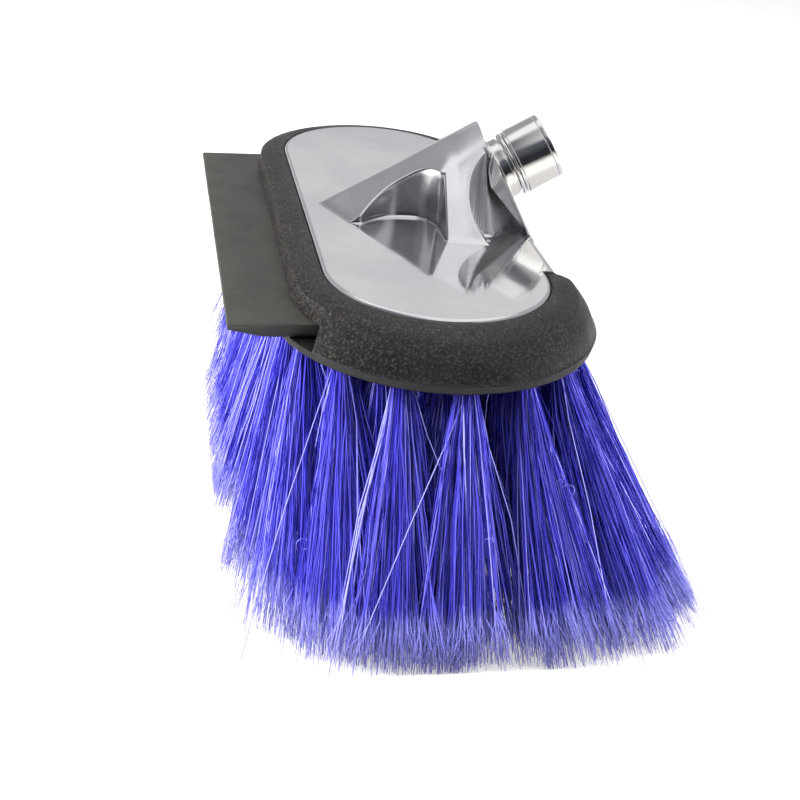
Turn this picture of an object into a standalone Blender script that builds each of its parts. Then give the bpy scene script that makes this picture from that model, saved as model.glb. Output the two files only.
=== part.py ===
"""Wash brush head: a polished cast body with an inclined water inlet, a rubber
bumper with a squeegee blade on one long side, and a field of flagged bristles.

X runs across the head, with the inlet towards +X and the blade towards -X.
Y runs along the head and Z points up. The origin lies under the middle of the
cast plate, on the plane of the bristle tips, which stand on Z = 0.
Heights named *_drop are measured down from the rim of the cast plate.
"""

import math

import bmesh
import bpy
from mathutils import Matrix, Vector

mm = 0.001

# Fits
gap = 0.3 * mm
overrun = 2.0 * mm
weld = 0.001 * mm
round_steps = 40
screw_steps = 16
arc_steps = 20
seal_sides = 6

# Whole head
rim_height = 105.0 * mm

# Cast plate: straight sides with round ends
plate_half_width = 41.8 * mm
plate_straight_half = 66.9 * mm
plate_rise = 0.5 * mm
plate_edge_round = 2.5 * mm
plate_thickness = 3.4 * mm
casting_depth = 8.0 * mm
casting_lip = 1.2 * mm
casting_lip_height = 2.5 * mm
chamber_wall = 10.0 * mm

# Straight apron of the casting under the inlet, in place of the bumper's top
apron_out = 5.7 * mm
apron_half_length = 64.5 * mm
apron_round = 4.0 * mm

# Neck boss on the plate
boss_tip = 36.0 * mm
boss_slope = math.radians(25.2)
boss_top_spread_share = 0.25
boss_base_sweep = 22.1 * mm
boss_heel = 6.0 * mm
boss_ridge_round = 2.0 * mm
boss_foot_half_width = 26.0 * mm
boss_widest_at = 27.0 * mm
boss_tip_shares = (0.985, 0.9, 0.75, 0.5, 0.2)
boss_front_shares = (0.2, 0.6, 1.0)

# Inlet axis: leans up towards +X
inlet_lean = math.radians(31.2)
inlet_face_x = 36.5 * mm
inlet_face_rise = 16.5 * mm

# Pockets scooped in each side of the boss
rear_pocket_start = 25.0 * mm
rear_pocket_end = 10.0 * mm
rear_pocket_back = 13.0 * mm
front_pocket_radius = 18.8 * mm
front_pocket_x = 38.3 * mm
front_pocket_rise = 15.0 * mm
front_pocket_back = 15.5 * mm
front_pocket_width = 33.0 * mm
end_flange = 2.5 * mm

# Inlet bore in the casting
thread_radius = 10.6 * mm
thread_depth = 12.0 * mm
seal_pocket_radius = 12.6 * mm
seal_pocket_depth = 2.3 * mm

# Hollow core of the boss, open to the water chamber and to the thread bore
core_start = 12.0 * mm
core_end = 27.0 * mm
core_half_width = 8.0 * mm
core_roof = 14.0 * mm
core_wall = 3.5 * mm

# Rubber bumper
bumper_crease_out = 10.3 * mm
bumper_crease_drop = 2.4 * mm
bumper_seam_out = 18.7 * mm
bumper_seam_drop = 14.3 * mm
bumper_lip_drop = 18.2 * mm
bumper_lip_taper = 0.5 * mm
bumper_top_round = 1.2 * mm
bumper_seam_round = 1.0 * mm
inlet_side_out = 8.2 * mm

# Curb of the bumper beside the blade, and the ends of the blade's slot
curb_out = 11.2 * mm
slot_end_slant = math.radians(66)

# Squeegee blade
blade_half_length = 91.75 * mm
blade_width = 23.8 * mm
blade_root_drop = 9.7 * mm
blade_edge_drop = 10.2 * mm
blade_root_thickness = 5.2 * mm
blade_edge_thickness = 2.0 * mm
blade_taper = 12.0 * mm
blade_tuck = 2.9 * mm

# Brush block and its face, which the bristles stand in
gasket_thickness = 1.0 * mm
gasket_inner_inset = 9.5 * mm
block_bottom_drop = 16.7 * mm
face_thickness = 2.6 * mm
face_overhang = 11.7 * mm
face_slices = 5
face_middle_slice = 50.0 * mm

# Screws and water holes
screw_inset = 4.0 * mm
screw_side_y = 48.0 * mm
screw_radius = 2.0 * mm
screw_head_radius = 3.8 * mm
screw_head_height = 2.2 * mm
screw_head_taper_share = 0.7
screw_grip = 5.6 * mm
water_hole_radius = 2.5 * mm
water_hole_x = 16.0 * mm
water_hole_ys = (12.5 * mm, 37.5 * mm, 62.5 * mm)

# Bristles
strand_rows = 7
strand_pitch = 6.3 * mm
strand_sides = 3
strand_root_radius = 1.9 * mm
strand_tip_radius = 2.7 * mm
strand_embed = 1.2 * mm
strand_edge_inset = 4.2 * mm
tip_reach_left = 70.0 * mm
tip_reach_right = 97.0 * mm
tip_straight_half = 123.0 * mm
tip_end_reach = 41.5 * mm
strand_flare_power = 1.5
strand_twist = math.radians(137.5)

# Nipple, ring, nut and seals, along the inlet axis from the casting's face
nipple_flange_radius = 13.2 * mm
nipple_flange_width = 1.5 * mm
nipple_neck_radius = 12.4 * mm
nipple_neck_end = 6.2 * mm
nipple_groove_radius = 11.6 * mm
nipple_groove_width = 0.8 * mm
nipple_shank_radius = 8.0 * mm
nipple_bore_radius = 5.5 * mm
nipple_end_radius = 9.8 * mm
nipple_end_width = 2.0 * mm
nipple_chamfer = 0.3 * mm
ring_radius = 13.3 * mm
ring_width = 1.3 * mm
nut_radius = 13.5 * mm
nut_length = 16.0 * mm
nut_lip = 2.3 * mm
nut_bore_radius = 10.4 * mm
nut_chamfer = 0.5 * mm
washer_thickness = 2.0 * mm
washer_hole_radius = 5.8 * mm
neck_seal_section = 0.85 * mm
swivel_seal_section = 0.5 * mm
swivel_seal_groove_depth = 1.5 * mm
swivel_seal_groove_width = 1.6 * mm

# Worked out from the sizes above
plate_half_length = plate_straight_half + plate_half_width
bumper_inner_out = gap
block_top_drop = casting_depth + gap + gasket_thickness + gap
face_top_drop = block_bottom_drop + gap
face_bottom_drop = face_top_drop + face_thickness
chamber_ceiling_drop = plate_thickness - plate_rise
curb_half_width = plate_half_width + curb_out
blade_edge_x = curb_half_width + blade_width
blade_root_out = curb_out - blade_tuck
root_half_width = plate_half_width + face_overhang - strand_edge_inset
ring_start = nipple_neck_end + gap
nut_start = ring_start + ring_width + gap
nipple_end_start = nut_start + nut_lip + gap
nipple_end = nipple_end_start + nipple_end_width
washer_start = nipple_end + gap
screw_places = [
    (sx * (plate_half_width - screw_inset), sy * screw_side_y)
    for sx in (-1, 1)
    for sy in (-1, 1)
] + [(0, sy * (plate_half_length - screw_inset)) for sy in (-1, 1)]
water_places = [(sx * water_hole_x, sy * y) for sx in (-1, 1) for sy in (-1, 1) for y in water_hole_ys]


def clear_scene():
    """Remove whatever the scene holds."""
    for item in list(bpy.data.objects):
        bpy.data.objects.remove(item, do_unlink=True)


def make_collection(name):
    """A new collection in the scene."""
    collection = bpy.data.collections.new(name)
    bpy.context.scene.collection.children.link(collection)
    return collection


def make_material(name, color, roughness, metallic):
    """A plain Principled material."""
    material = bpy.data.materials.new(name)
    material.use_nodes = True
    shader = material.node_tree.nodes["Principled BSDF"]
    shader.inputs["Base Color"].default_value = (*color, 1)
    shader.inputs["Roughness"].default_value = roughness
    shader.inputs["Metallic"].default_value = metallic
    return material


def make_empty(name, parent=None):
    """An empty that other objects hang on."""
    empty = bpy.data.objects.new(name, None)
    parts.objects.link(empty)
    empty.parent = parent
    return empty


def mesh_from(vertices, faces, edges=()):
    """A mesh of the given points, edges and faces."""
    mesh = bpy.data.meshes.new("mesh")
    mesh.from_pydata([tuple(v) for v in vertices], list(edges), faces)
    mesh.validate()
    return mesh


def add_part(name, mesh, parent, material):
    """A named sub-part of the head."""
    part = bpy.data.objects.new(name, mesh)
    mesh.materials.clear()
    mesh.materials.append(material)
    part.parent = parent
    parts.objects.link(part)
    return part


def add_cutter(name, mesh, parent):
    """A body that only cuts or joins, kept out of the model."""
    cutter = bpy.data.objects.new(name, mesh)
    cutter.parent = parent
    cutter.hide_render = True
    cutter.display_type = "WIRE"
    cutters.objects.link(cutter)
    return cutter


def add_boolean(target, tool, operation):
    """An exact boolean of the target with the tool."""
    modifier = target.modifiers.new(operation.lower(), "BOOLEAN")
    modifier.operation = operation
    modifier.solver = "EXACT"
    modifier.object = tool


def shade_round(mesh):
    """Smooth shading that keeps edges sharper than 30 degrees."""
    mesh.shade_smooth()
    mesh.set_sharp_from_angle(angle=math.radians(30))


def stadium(offset, straight=plate_straight_half, half_width=plate_half_width):
    """The plate's outline pushed out by an offset, counter-clockwise from above."""
    radius = half_width + offset
    points = []
    for side in (1, -1):
        for step in range(arc_steps + 1):
            turn = math.pi * step / arc_steps
            points.append((side * radius * math.cos(turn), side * (straight + radius * math.sin(turn))))
    return points


def loft(rings, closed=False):
    """A skin through rings of equal count, each a list of (x, y, z), going up."""
    count = len(rings[0])
    vertices = [point for ring in rings for point in ring]
    faces = []
    levels = len(rings) if closed else len(rings) - 1
    for level in range(levels):
        low = level * count
        high = (level + 1) % len(rings) * count
        for i in range(count):
            j = (i + 1) % count
            faces.append((low + i, low + j, high + j, high + i))
    if not closed:
        faces.append(tuple(reversed(range(count))))
        faces.append(tuple(range(len(vertices) - count, len(vertices))))
    return mesh_from(vertices, faces)


def stadium_loft(levels, closed=False):
    """A loft of stadium rings, each level an (offset, height) pair."""
    return loft([[(x, y, height) for x, y in stadium(offset)] for offset, height in levels], closed)


def prism(outline, low, high):
    """A flat outline carried straight up from low to high."""
    return loft([[(x, y, low) for x, y in outline], [(x, y, high) for x, y in outline]])


def box(low, high):
    """A box between two corners."""
    corners = [(low[0], low[1]), (high[0], low[1]), (high[0], high[1]), (low[0], high[1])]
    return prism(corners, low[2], high[2])


def along_y(outline, half_length):
    """An outline of (x, z) points, counter-clockwise seen from -Y, carried along Y."""
    near = [(x, -half_length, z) for x, z in outline]
    far = [(x, half_length, z) for x, z in outline]
    return loft([far, near])


def posts(places, radius, low, high, steps=screw_steps):
    """Upright cylinders at the given places, as one mesh."""
    tool = bmesh.new()
    for x, y in places:
        matrix = Matrix.Translation((x, y, (low + high) / 2))
        bmesh.ops.create_cone(
            tool,
            cap_ends=True,
            segments=steps,
            radius1=radius,
            radius2=radius,
            depth=high - low,
            matrix=matrix,
        )
    mesh = bpy.data.meshes.new("posts")
    tool.to_mesh(mesh)
    tool.free()
    return mesh


def turned(name, profile, parent, material, steps=round_steps):
    """A body turned about local Z from a closed (radius, height) profile."""
    count = len(profile)
    edges = [(i, (i + 1) % count) for i in range(count)]
    mesh = mesh_from([(radius, 0, height) for radius, height in profile], [], edges)
    part = add_part(name, mesh, parent, material)
    screw = part.modifiers.new("turn", "SCREW")
    screw.axis = "Z"
    screw.angle = math.tau
    screw.steps = steps
    screw.render_steps = steps
    screw.use_merge_vertices = True
    screw.merge_threshold = weld
    return part


def make_boss():
    """Wedge that rises from its tip and widens towards the inlet face.

    Each section has a flat top, a rounded ridge, and a sloping side that meets
    the plate on a parabola. The inlet face is cut square to the inlet axis.
    """
    heel_x = inlet_face_x + inlet_face_rise * math.tan(inlet_lean) + overrun
    end_x = max(heel_x, boss_widest_at)
    stations = [-boss_tip * share for share in boss_tip_shares]
    stations += [boss_widest_at * share for share in boss_front_shares] + [end_x]
    rings = []
    for x in stations:
        run = min(x, boss_widest_at) + boss_tip
        top = run * math.tan(boss_slope)
        half_top = run * boss_top_spread_share
        half_base = math.sqrt(boss_base_sweep * run)
        if x > boss_widest_at:
            half_base = boss_foot_half_width
        ridge = min(boss_ridge_round, top / 3, half_top / 3)
        half = [
            (half_base, -boss_heel),
            (half_base, 0),
            (half_top + ridge, top - ridge),
            (half_top + ridge / 3, top - ridge / 4),
            (half_top - ridge, top),
        ]
        ring = [(x, y, plate_rise + z) for y, z in half]
        ring += [(x, -y, z) for x, y, z in reversed(ring)]
        rings.append(ring)
    return loft(rings)


def make_apron():
    """Straight block with a rounded outer top edge, along the inlet side."""
    inner = plate_half_width - plate_edge_round * 2
    outer = plate_half_width + apron_out
    outline = [(inner, plate_rise), (inner, -casting_depth), (outer, -casting_depth)]
    for step in range(arc_steps // 4 + 1):
        turn = math.radians(90) * step / (arc_steps // 4)
        x = outer - apron_round * (1 - math.cos(turn))
        outline.append((x, plate_rise - apron_round * (1 - math.sin(turn))))
    return along_y(outline, apron_half_length)


def rear_pocket_cutter():
    """Notch with an upright back wall, one on each side, joined over the top."""
    low = plate_rise
    high = plate_rise + boss_tip
    deep = plate_half_width + overrun
    corner = boss_ridge_round * 2
    outline = [
        (-rear_pocket_start, rear_pocket_back + corner),
        (-rear_pocket_start / 2, rear_pocket_back),
        (rear_pocket_end - corner, rear_pocket_back),
        (rear_pocket_end, rear_pocket_back + corner),
        (rear_pocket_end, deep),
        (-boss_tip, deep),
    ]
    return outline, low, high


def make_casting():
    """Plate with round ends, neck boss, pockets, inlet bore and water chamber."""
    edge = plate_edge_round
    body = add_part(
        "body_casting",
        stadium_loft(
            [
                (casting_lip, -casting_depth),
                (casting_lip, -casting_depth + casting_lip_height),
                (0, -casting_depth + casting_lip_height),
                (0, -edge / 4),
                (-edge / 4, plate_rise - edge / 4),
                (-edge, plate_rise),
            ]
        ),
        head,
        aluminium,
    )

    add_boolean(body, add_cutter("apron_blank", make_apron(), head), "UNION")

    boss = add_cutter("boss_blank", make_boss(), head)
    reach = plate_half_length
    beyond = add_cutter("inlet_face_cut", box((-reach, -reach, 0), (reach, reach, reach)), neck)
    add_boolean(boss, beyond, "DIFFERENCE")

    outline, low, high = rear_pocket_cutter()
    for side, name in ((1, "rear_pocket_far"), (-1, "rear_pocket_near")):
        points = [(x, side * y) for x, y in outline]
        if side > 0:
            mesh = prism(points, low, high)
        else:
            mesh = prism(list(reversed(points)), low, high)
        add_boolean(boss, add_cutter(name, mesh, head), "DIFFERENCE")
    for side, name in ((1, "front_pocket_far"), (-1, "front_pocket_near")):
        add_boolean(boss, front_pocket(name, side), "DIFFERENCE")
    add_boolean(body, boss, "UNION")

    chamber = prism(stadium(-chamber_wall), -casting_depth - overrun, -chamber_ceiling_drop)
    add_boolean(body, add_cutter("water_chamber", chamber, head), "DIFFERENCE")
    add_boolean(body, add_cutter("boss_core", make_core(), head), "DIFFERENCE")
    bores = [
        ("seal_pocket", seal_pocket_radius, -seal_pocket_depth),
        ("thread_bore", thread_radius, -thread_depth),
    ]
    for name, radius, start in bores:
        cut = posts([(0, 0)], radius, start, overrun, round_steps)
        add_boolean(body, add_cutter(name, cut, neck), "DIFFERENCE")
    holes = posts(
        screw_places,
        screw_radius + gap,
        -casting_depth - overrun,
        -casting_depth + screw_grip + gap,
    )
    add_boolean(body, add_cutter("casting_screw_holes", holes, head), "DIFFERENCE")


def make_core():
    """Hollow under the boss, whose roof keeps the wall to the boss's sloping top."""
    low = -chamber_ceiling_drop - overrun
    drop = plate_rise - core_wall / math.cos(boss_slope)
    start_roof = drop + (boss_tip - core_start) * math.tan(boss_slope)
    level_from = (core_roof - drop) / math.tan(boss_slope) - boss_tip
    outline = [
        (-core_start, low),
        (core_end, low),
        (core_end, core_roof),
        (level_from, core_roof),
        (-core_start, start_roof),
    ]
    return along_y(outline, core_half_width)


def front_pocket(name, side):
    """Round scoop beside the inlet face, open to one side, behind a thin flange."""
    tool = bmesh.new()
    depth = front_pocket_width
    start = front_pocket_back
    turn = Matrix.Rotation(math.radians(90), 4, "X")
    place = Matrix.Translation((front_pocket_x, side * (start + depth / 2), front_pocket_rise))
    bmesh.ops.create_cone(
        tool,
        cap_ends=True,
        segments=round_steps,
        radius1=front_pocket_radius,
        radius2=front_pocket_radius,
        depth=depth,
        matrix=place @ turn,
    )
    mesh = bpy.data.meshes.new("scoop")
    tool.to_mesh(mesh)
    tool.free()
    scoop = add_cutter(name, mesh, head)
    wall = front_pocket_radius * 2
    keep_low = box((-wall, -wall * 2, -wall * 2), (wall, wall * 2, -end_flange))
    add_boolean(scoop, add_cutter(name + "_limit", keep_low, neck), "INTERSECT")
    above = box(
        (-wall, -wall * 2, plate_rise),
        (wall * 2, wall * 2, wall * 2),
    )
    add_boolean(scoop, add_cutter(name + "_floor", above, head), "INTERSECT")
    return scoop


def make_bumper():
    """Ring of rubber round the casting, cut away over the blade and the apron."""
    lip_out = bumper_seam_out - bumper_lip_taper
    under = face_overhang + gap
    groove = casting_lip + gap
    seam = bumper_seam_round
    section = [
        (under, -bumper_lip_drop),
        (lip_out, -bumper_lip_drop),
        (bumper_seam_out - seam / 4, -bumper_seam_drop - seam),
        (bumper_seam_out, -bumper_seam_drop),
        (bumper_seam_out - seam, -bumper_seam_drop + seam),
        (bumper_crease_out + seam / 2, -bumper_crease_drop - seam / 2),
        (bumper_crease_out - seam, -bumper_crease_drop + seam / 4),
        (bumper_inner_out + bumper_top_round, 0),
        (bumper_inner_out, -bumper_top_round / 2),
        (bumper_inner_out, -casting_depth + casting_lip_height + gap),
        (groove, -casting_depth + casting_lip_height + gap),
        (groove, -casting_depth - gap),
        (bumper_inner_out, -casting_depth - gap),
        (bumper_inner_out, -block_bottom_drop),
        (under, -block_bottom_drop),
    ]
    body = add_part("bumper", stadium_loft(section, closed=True), head, rubber)
    add_boolean(body, blade_clearance(), "DIFFERENCE")

    half_length = apron_half_length + gap
    far = bumper_seam_out * 4
    over = box((0, -half_length, -casting_depth - gap), (far, half_length, overrun))
    add_boolean(body, add_cutter("apron_clearance", over, head), "DIFFERENCE")
    trim = plate_half_width + inlet_side_out
    beside = box((trim, -half_length, -rim_height), (far, half_length, overrun))
    add_boolean(body, add_cutter("inlet_side_trim", beside, head), "DIFFERENCE")


def blade_clearance():
    """Space over, behind and beside the blade, whose ends slant away from it.

    What stays inside it is a core: the curb with the bumper's top band, and
    below it the wall that the blade's root stands against.
    """
    low = -(blade_root_drop + blade_root_thickness) - gap
    half_length = blade_half_length + gap
    run = blade_edge_x + overrun - curb_half_width
    slant = run * math.tan(slot_end_slant)
    outline = [
        (0, -half_length),
        (0, half_length),
        (-plate_half_width, half_length),
        (-curb_half_width - run, half_length + slant),
        (-curb_half_width - run, -half_length - slant),
        (-plate_half_width, -half_length),
    ]
    space = add_cutter("blade_clearance", prism(outline, low, overrun), head)
    ledge = -blade_root_drop + gap
    core = stadium_loft(
        [
            (blade_root_out - gap, low - overrun),
            (blade_root_out - gap, ledge),
            (curb_out, ledge),
            (bumper_crease_out, -bumper_crease_drop),
            (bumper_crease_out, overrun * 2),
        ]
    )
    add_boolean(space, add_cutter("blade_curb_core", core, head), "DIFFERENCE")
    return space


def make_blade():
    """Tapered rubber strip whose root follows the curb and is tucked under it."""
    inner = -(plate_half_width - blade_tuck)
    outer = -blade_edge_x
    thick = -blade_root_drop - blade_root_thickness
    outline = [
        (inner, -blade_root_drop),
        (-curb_half_width, -blade_root_drop),
        (outer, -blade_edge_drop),
        (outer, -blade_edge_drop - blade_edge_thickness),
        (outer + blade_taper, thick),
        (inner, thick),
    ]
    blade = add_part("squeegee_blade", along_y(outline, blade_half_length), head, blade_rubber)
    reach = blade_root_drop + blade_root_thickness + overrun
    core = prism(stadium(blade_root_out), -reach, 0)
    add_boolean(blade, add_cutter("blade_root_cut", core, head), "DIFFERENCE")


def make_block():
    """Gasket, brush block and the screws that hold them to the casting."""
    screw_hole = screw_radius + gap
    top = -casting_depth - gap
    seal = add_part("block_gasket", prism(stadium(0), top - gasket_thickness, top), head, seal_rubber)
    window = prism(stadium(-gasket_inner_inset), top - gasket_thickness - overrun, top + overrun)
    add_boolean(seal, add_cutter("gasket_window", window, head), "DIFFERENCE")
    holes = posts(screw_places, screw_hole, -block_bottom_drop - overrun, top + overrun)
    hole_cutter = add_cutter("block_screw_holes", holes, head)
    add_boolean(seal, hole_cutter, "DIFFERENCE")

    blank = prism(stadium(0), -block_bottom_drop, -block_top_drop)
    block = add_part("brush_block", blank, head, black_plastic)
    add_boolean(block, hole_cutter, "DIFFERENCE")
    water = posts(water_places, water_hole_radius, -face_bottom_drop - overrun, -block_top_drop + overrun)
    water_cutter = add_cutter("water_holes", water, head)
    add_boolean(block, water_cutter, "DIFFERENCE")

    head_top = -block_bottom_drop - gap
    tip = -casting_depth + screw_grip
    for number, (x, y) in enumerate(screw_places, 1):
        profile = [
            (0, tip),
            (screw_radius, tip),
            (screw_radius, head_top),
            (screw_head_radius, head_top),
            (screw_head_radius, head_top - screw_head_height * screw_head_taper_share),
            (screw_head_radius * screw_head_taper_share, head_top - screw_head_height),
            (0, head_top - screw_head_height),
        ]
        screw = turned("block_screw_%d" % number, profile, head, zinc, screw_steps)
        screw.location = (x, y, 0)
    return water_cutter


def strand_lines():
    """Root and tip of every strand, on nested outlines that never cross.

    A row is an outline at a share of the full offset. Its strands are spaced
    evenly along the root outline, and the tips follow the same places on a
    wider outline that leans towards +X.
    """
    lines = []
    for row in range(strand_rows):
        share = 1 - row / (strand_rows - 1)
        radius = root_half_width * share
        length = 4 * plate_straight_half + math.tau * radius
        if row == strand_rows - 1:
            length /= 2
        count = max(2, round(length / strand_pitch))
        spine = row == strand_rows - 1
        shift = 0.5 if spine or row % 2 else 0
        for i in range(count):
            lines.append(strand_line(share, (i + shift) / count, spine))
    return lines


def strand_line(share, place, spine):
    """Root and tip of the strand at a share of the offset and of the outline."""
    radius = root_half_width * share
    straight = plate_straight_half
    if spine:
        side_x, along, end = 0, (2 * place - 1), 0
    else:
        run = 2 * straight
        arc = math.pi * radius
        travel = place * 2 * (run + arc)
        half = 1
        if travel >= run + arc:
            travel -= run + arc
            half = -1
        if travel < run:
            side_x, along, end = half, half * (2 * travel / run - 1), 0
        else:
            turn = (travel - run) / radius
            side_x, along, end = half * math.cos(turn), half, half * math.sin(turn)
    root = Vector((side_x * radius, along * straight + end * radius, 0))
    reach = tip_reach_right if side_x > 0 else tip_reach_left
    flare_x = side_x * (reach - strand_tip_radius - root_half_width)
    flare_y = along * abs(along) * (tip_straight_half - straight)
    flare_y += end * (tip_end_reach - strand_tip_radius - root_half_width)
    tip = root + Vector((flare_x, flare_y, 0)) * share**strand_flare_power
    return root, tip


def make_bristles(water_cutter):
    """Slices of the block's face, each with its own strands in one body."""
    top = -face_top_drop
    bottom = -face_bottom_drop
    root_z = bottom + strand_embed
    heads = posts(screw_places, screw_head_radius + gap, bottom - overrun, top + overrun)
    head_cutter = add_cutter("screw_head_holes", heads, head)
    face_half_length = plate_half_length + face_overhang
    bounds = [-face_half_length - overrun]
    bounds += [(i - face_slices / 2) * face_middle_slice for i in range(1, face_slices)]
    bounds += [face_half_length + overrun]
    reserved = [(x, y, screw_head_radius) for x, y in screw_places]
    reserved += [(x, y, water_hole_radius) for x, y in water_places]
    lines = []
    for root, tip in strand_lines():
        clear = all(
            math.hypot(root.x - x, root.y - y) > radius + strand_root_radius + 2 * gap
            for x, y, radius in reserved
        )
        inside = all(abs(root.y - bound) > strand_root_radius + gap for bound in bounds)
        if clear and inside:
            lines.append((root, tip))
    for number in range(face_slices):
        low_y = bounds[number] + gap / 2
        high_y = bounds[number + 1] - gap / 2
        name = "bristles_%d" % (number + 1)
        part = add_part(name, prism(stadium(face_overhang), bottom, top), head, bristle_blue)
        wide = plate_half_length
        band = box((-wide, low_y, bottom - overrun), (wide, high_y, top + overrun))
        add_boolean(part, add_cutter(name + "_band", band, head), "INTERSECT")
        add_boolean(part, water_cutter, "DIFFERENCE")
        add_boolean(part, head_cutter, "DIFFERENCE")
        own = [(root, tip) for root, tip in lines if low_y < root.y < high_y]
        strands = strand_mesh(own, root_z)
        add_boolean(part, add_cutter(name + "_strands", strands, head), "UNION")


def strand_mesh(lines, root_z):
    """Straight strands, each widening from its root to a flat-cut tip."""
    vertices = []
    faces = []
    sides = strand_sides
    for index, (root, tip) in enumerate(lines):
        first = len(vertices)
        turn = index * strand_twist
        for centre, radius, height in (
            (tip, strand_tip_radius, -rim_height),
            (root, strand_root_radius, root_z),
        ):
            for side in range(sides):
                angle = turn + math.tau * side / sides
                x = centre.x + radius * math.cos(angle)
                y = centre.y + radius * math.sin(angle)
                vertices.append((x, y, height))
        for i in range(sides):
            j = (i + 1) % sides
            faces.append((first + i, first + j, first + sides + j, first + sides + i))
        faces.append(tuple(first + i for i in reversed(range(sides))))
        faces.append(tuple(first + sides + i for i in range(sides)))
    return mesh_from(vertices, faces)


def make_inlet():
    """Nipple, seals, thrust ring and swivel nut, all turned on the inlet axis."""
    groove_start = nipple_neck_end - nipple_groove_width
    seal_high = nut_start + nut_lip - gap
    seal_low = seal_high - swivel_seal_groove_width
    groove_floor = nipple_shank_radius - swivel_seal_groove_depth
    soft = nipple_chamfer
    turned(
        "inlet_nipple",
        [
            (nipple_bore_radius, nipple_end),
            (nipple_end_radius - soft, nipple_end),
            (nipple_end_radius, nipple_end - soft),
            (nipple_end_radius, nipple_end_start),
            (nipple_shank_radius, nipple_end_start),
            (nipple_shank_radius, seal_high),
            (groove_floor, seal_high),
            (groove_floor, seal_low),
            (nipple_shank_radius, seal_low),
            (nipple_shank_radius, nipple_neck_end),
            (nipple_groove_radius, nipple_neck_end),
            (nipple_groove_radius, groove_start),
            (nipple_neck_radius, groove_start),
            (nipple_neck_radius, gap + nipple_flange_width),
            (nipple_flange_radius - soft, gap + nipple_flange_width),
            (nipple_flange_radius, gap + nipple_flange_width - soft),
            (nipple_flange_radius, gap),
            (thread_radius - gap, gap),
            (thread_radius - gap, -thread_depth + gap),
            (nipple_bore_radius, -thread_depth + gap),
        ],
        neck,
        chrome,
    )
    turned(
        "thrust_ring",
        [
            (nipple_shank_radius + gap, ring_start + ring_width),
            (ring_radius - soft, ring_start + ring_width),
            (ring_radius, ring_start + ring_width - soft),
            (ring_radius, ring_start + soft),
            (ring_radius - soft, ring_start),
            (nipple_shank_radius + gap, ring_start),
        ],
        neck,
        chrome,
    )
    nut_end = nut_start + nut_length
    cavity_start = nut_start + nut_lip
    turned(
        "swivel_nut",
        [
            (nut_bore_radius + nut_chamfer, nut_end),
            (nut_radius - nut_chamfer, nut_end),
            (nut_radius, nut_end - nut_chamfer),
            (nut_radius, nut_start + nut_chamfer),
            (nut_radius - nut_chamfer, nut_start),
            (nipple_shank_radius + gap, nut_start),
            (nipple_shank_radius + gap, cavity_start),
            (nut_bore_radius, cavity_start),
            (nut_bore_radius, nut_end - nut_chamfer),
        ],
        neck,
        chrome,
    )
    turned(
        "hose_washer",
        [
            (washer_hole_radius, washer_start + washer_thickness),
            (nut_bore_radius - gap, washer_start + washer_thickness),
            (nut_bore_radius - gap, washer_start),
            (washer_hole_radius, washer_start),
        ],
        neck,
        seal_rubber,
    )
    neck_middle = (thread_radius - gap + seal_pocket_radius) / 2
    add_seal("neck_seal", neck_middle, neck_seal_section, -(neck_seal_section + gap))
    swivel_middle = groove_floor + gap + swivel_seal_section
    add_seal("swivel_seal", swivel_middle, swivel_seal_section, (seal_high + seal_low) / 2)


def add_seal(name, middle_radius, section_radius, along):
    """An O-ring about the inlet axis."""
    profile = []
    for i in range(seal_sides):
        angle = -math.tau * i / seal_sides
        out = section_radius * math.cos(angle)
        up = section_radius * math.sin(angle)
        profile.append((middle_radius + out, along + up))
    turned(name, profile, neck, seal_rubber)


clear_scene()
parts = make_collection("wash_brush_head")
cutters = make_collection("cutters")

aluminium = make_material("polished_aluminium", (0.72, 0.72, 0.73), 0.16, 1)
chrome = make_material("bright_turned_metal", (0.82, 0.82, 0.83), 0.12, 1)
zinc = make_material("zinc_screw_steel", (0.6, 0.6, 0.58), 0.35, 1)
rubber = make_material("bumper_rubber", (0.035, 0.033, 0.03), 0.75, 0)
blade_rubber = make_material("blade_rubber", (0.06, 0.06, 0.05), 0.6, 0)
seal_rubber = make_material("seal_rubber", (0.02, 0.02, 0.02), 0.6, 0)
black_plastic = make_material("black_block_plastic", (0.02, 0.02, 0.02), 0.45, 0)
bristle_blue = make_material("bristle_blue", (0.1, 0.09, 0.7), 0.5, 0)

head = make_empty("head_frame")
head.location = (0, 0, rim_height)
neck = make_empty("inlet_frame", head)
neck.location = (inlet_face_x, 0, inlet_face_rise)
neck.rotation_euler = (0, math.radians(90) - inlet_lean, 0)

make_casting()
make_bumper()
make_blade()
water_holes = make_block()
make_bristles(water_holes)
make_inlet()
for part in parts.objects:
    if part.type == "MESH":
        shade_round(part.data)
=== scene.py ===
"""Looks of the wash brush head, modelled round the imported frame.

New pieces are worked out in millimetres about the middle of the cast plate, on the
plane of its rim: X across, towards the inlet, Y along the head and Z up.
to_world() takes them to the frame's metres.
"""

import math

import bmesh
import bpy
import numpy as np
from mathutils import Matrix, Vector


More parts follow.
